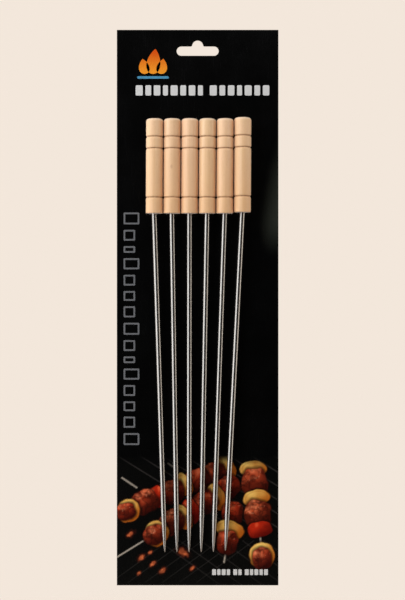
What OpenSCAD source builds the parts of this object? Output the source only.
// Straight barbecue skewers fixed side by side on a hang card.
// Each skewer is a pointed steel rod pressed into a turned wooden handle.
// A dot of glue behind each handle and one behind each rod hold it on the card.
// The origin is the top of the hang hole's arch, on the card's back face.
// +Z points up, +X points right as seen from the front, and the front faces -Y.
// Lengths are in millimetres.

/* [Card] */
// Width of the card
card_w = 123; // [118:1:140]
// Height of the card
card_h = 423; // [415:1:450]
// Thickness of the board
card_t = 1; // [0.6:0.1:2]

/* [Hang hole] */
// Length of the slot from end to end
slot_w = 32; // [28:1:36]
// Height of the slot
slot_h = 7.1; // [6:0.1:8]
// Radius of the arch over the middle of the slot
arch_r = 4.2; // [3.8:0.1:5]
// Height of the whole hole, from the foot of the slot to the top of the arch
hole_h = 11.6; // [11:0.1:12.5]
// Radius of the corner between the arch and the slot
corner_r = 1.2; // [0.5:0.1:2]
// Distance from the card's top edge down to the top of the arch
hole_drop = 8.1; // [6:0.1:12]

/* [Row of skewers] */
// Number of skewers
skewer_count = 6; // [2:1:6]
// Distance between neighbouring handles
handle_pitch = 13.3; // [13.2:0.1:14]
// Distance between neighbouring tips
tip_pitch = 9.2; // [8.5:0.1:13]
// Sideways place of the middle of the row of handles
handle_row_x = 0.5; // [-1:0.1:1]
// Sideways place of the middle of the row of tips
tip_row_x = -1.9; // [-2.5:0.1:2.5]
// Distance from the origin down to the lower ends of the handles
foot_drop = 132.2; // [125:0.1:140]
// How far the last skewer sits above the others
last_raise = 0.9; // [0:0.1:2]
// Lean of the handles to the right, in degrees
handle_lean = 0.3; // [-0.5:0.1:0.5]
// Gap between the card and a skewer that rests on it
rest_gap = 0.2; // [0.1:0.05:0.4]

/* [Handle] */
// Diameter of a handle
handle_d = 12.8; // [12:0.1:13]
// Length of a handle
handle_l = 71.2; // [68:0.1:80]
// Radius of the rounded upper edge
crown_r = 2.2; // [1:0.1:3]
// Radius of the rounded lower edge
foot_r = 0.6; // [0.3:0.1:1.5]
// Distances from the top of a handle down to its turned grooves
groove_drops = [13.7, 22.5, 59.3]; // [8:0.1:64]
// Depth of a groove
groove_depth = 0.7; // [0.3:0.1:0.9]
// Radius of the rounded shoulders on both sides of a groove
shoulder_r = 2.2; // [1:0.1:3]

/* [Rod] */
// Diameter of a rod
rod_d = 4; // [3.5:0.1:4.5]
// Length of a rod outside its handle
rod_out = 257; // [230:1:260]
// Length of a rod inside its handle
tang_l = 45; // [30:1:48]
// Chamfer on the hidden end of a rod
tang_chamfer = 0.4; // [0.2:0.1:0.8]
// Length of the ground taper that ends in the tip
taper_l = 28; // [15:1:40]
// Shape of the taper: 1 is a plain cone, and lower values are fuller
taper_power = 0.45; // [0.4:0.05:1]

/* [Glue] */
// Length, width and thickness of the glue dot behind a handle
handle_dot = [14, 8, 2]; // [1:0.5:20]
// Height of that dot above the lower end of the handle
handle_dot_rise = 40; // [30:1:45]
// Length, width and thickness of the glue dot behind a rod
rod_dot = [9, 3.4, 1.9]; // [1:0.1:12]
// Distance of that dot from the tip
rod_dot_rise = 60; // [45:1:90]
// Gap between a glue dot and the skewer in it
glue_gap = 0.15; // [0.1:0.05:0.3]

/* [Hidden] */
$fn = 64;
EPS = 0.01;
TAPER_STEPS = 12;
DRILL_POINT = 118;

slot_r = slot_h / 2;
slot_top = slot_h - hole_h;
corner_z = slot_top + corner_r;
corner_x = sqrt(pow(arch_r + corner_r, 2) - pow(corner_z + arch_r, 2));

handle_r = handle_d / 2;
rod_r = rod_d / 2;
groove_half = sqrt(pow(shoulder_r, 2) - pow(shoulder_r - groove_depth, 2));

// A skewer rests on the lower rim of its handle and on its tip, so it tilts off the card.
tilt = asin((handle_r - rod_r) / rod_out);
foot_y = -(card_t + rest_gap + handle_r);

// Place of skewer i in its row, from 0 at the middle.
function rank(i) = i - (skewer_count - 1) / 2;
function foot_x(i) = handle_row_x + rank(i) * handle_pitch;
function foot_z(i) = -foot_drop + (i == skewer_count - 1 ? last_raise : 0);
function tip_x(i) = tip_row_x + rank(i) * tip_pitch;
function rod_lean(i) = asin((foot_x(i) - tip_x(i)) / (rod_out * cos(tilt)));

function names(base) = [for (i = [1:skewer_count]) str(base, "_", i)];

// Outline of a straight bar with fully round ends, centred, with its length along Y.
module bar_outline(length, width) {
    square([width, length - width], center = true);
    for (side = [-1, 1])
        translate([0, side * (length - width) / 2]) circle(d = width);
}

// Fills the notch between the arch and the slot, up to a round corner.
module corner_outline() {
    difference() {
        polygon([[0, -arch_r], [corner_x, corner_z], [corner_x, slot_top], [0, slot_top]]);
        translate([corner_x, corner_z]) circle(r = corner_r);
    }
}

// Slot with a small arch over its middle. The top of the arch is the origin.
module hang_hole_outline() {
    translate([0, slot_top - slot_r]) rotate(90) bar_outline(slot_w, slot_h);
    translate([0, -arch_r]) circle(r = arch_r);
    corner_outline();
    mirror([1, 0]) corner_outline();
}

// Stands an outline up in the plane of the card and gives it thickness towards the front.
module stand_up(thickness) {
    rotate([90, 0, 0]) linear_extrude(thickness) children();
}

module display_card() {
    color([0.05, 0.05, 0.05]) stand_up(card_t) difference() {
        translate([-card_w / 2, hole_drop - card_h]) square([card_w, card_h]);
        hang_hole_outline();
    }
}

// Moves children to the lower end of handle i, with +Z up along that handle or rod.
module at_foot(i, lean) {
    translate([foot_x(i), foot_y, foot_z(i)]) rotate([tilt, lean, 0]) children();
}

// V-shaped groove between two rounded shoulders, cut into a surface at x = 0.
module groove_outline() {
    difference() {
        translate([-groove_depth, -groove_half]) square([groove_depth + EPS, 2 * groove_half]);
        for (side = [-1, 1])
            translate([-shoulder_r, side * groove_half]) circle(r = shoulder_r);
    }
}

// Half section of a handle, with its lower end at y = 0.
module handle_outline() {
    difference() {
        union() {
            translate([0, foot_r]) square([handle_r, handle_l - foot_r - crown_r]);
            square([handle_r - foot_r, handle_l / 2]);
            translate([handle_r - foot_r, foot_r]) circle(r = foot_r);
            translate([0, handle_l / 2]) square([handle_r - crown_r, handle_l / 2]);
            translate([handle_r - crown_r, handle_l - crown_r]) circle(r = crown_r);
        }
        for (drop = groove_drops)
            translate([handle_r, handle_l - drop]) groove_outline();
    }
}

// Blind hole for the tang, with the cone that the drill's point leaves.
module tang_bore() {
    translate([0, 0, -rod_r]) cylinder(r = rod_r, h = tang_l + rod_r);
    translate([0, 0, tang_l]) cylinder(r1 = rod_r, r2 = 0, h = rod_r / tan(DRILL_POINT / 2));
}

module handle(i) {
    color([0.88, 0.71, 0.53]) difference() {
        at_foot(i, handle_lean) rotate_extrude() handle_outline();
        at_foot(i, rod_lean(i)) tang_bore();
    }
}

// Radius of the taper at the share t of the way from the tip to the full rod.
function taper_point(t) = [rod_r * pow(t, 2 * taper_power), taper_l * t * t];

// Half section of a rod, with its tip at the origin.
module rod_outline() {
    rod_l = rod_out + tang_l;
    polygon(concat(
        [for (k = [0:TAPER_STEPS]) taper_point(k / TAPER_STEPS)],
        [[rod_r, rod_l - tang_chamfer], [rod_r - tang_chamfer, rod_l], [0, rod_l]]
    ));
}

module rod(i) {
    color([0.75, 0.75, 0.74]) at_foot(i, rod_lean(i)) translate([0, 0, -rod_out])
        rotate_extrude() rod_outline();
}

// Flat dot of glue on the front of the card, centred at [x, z] and in line with a skewer.
module glue_dot(x, z, lean, size) {
    translate([x, -card_t, z]) rotate([0, lean, 0]) stand_up(size[2]) bar_outline(size[0], size[1]);
}

module handle_glue(i) {
    color([0.93, 0.88, 0.74]) difference() {
        glue_dot(foot_x(i) + handle_dot_rise * sin(handle_lean), foot_z(i) + handle_dot_rise,
            handle_lean, handle_dot);
        at_foot(i, handle_lean) cylinder(r = handle_r + glue_gap, h = handle_l);
    }
}

module rod_glue(i) {
    reach = rod_out - rod_dot_rise;
    color([0.93, 0.88, 0.74]) difference() {
        glue_dot(foot_x(i) - reach * sin(rod_lean(i)), foot_z(i) - reach * cos(rod_lean(i)),
            rod_lean(i), rod_dot);
        at_foot(i, rod_lean(i)) translate([0, 0, -rod_out]) cylinder(r = rod_r + glue_gap, h = rod_out);
    }
}

display_card();
for (i = [0:skewer_count - 1]) {
    handle(i);
    rod(i);
    handle_glue(i);
    rod_glue(i);
}
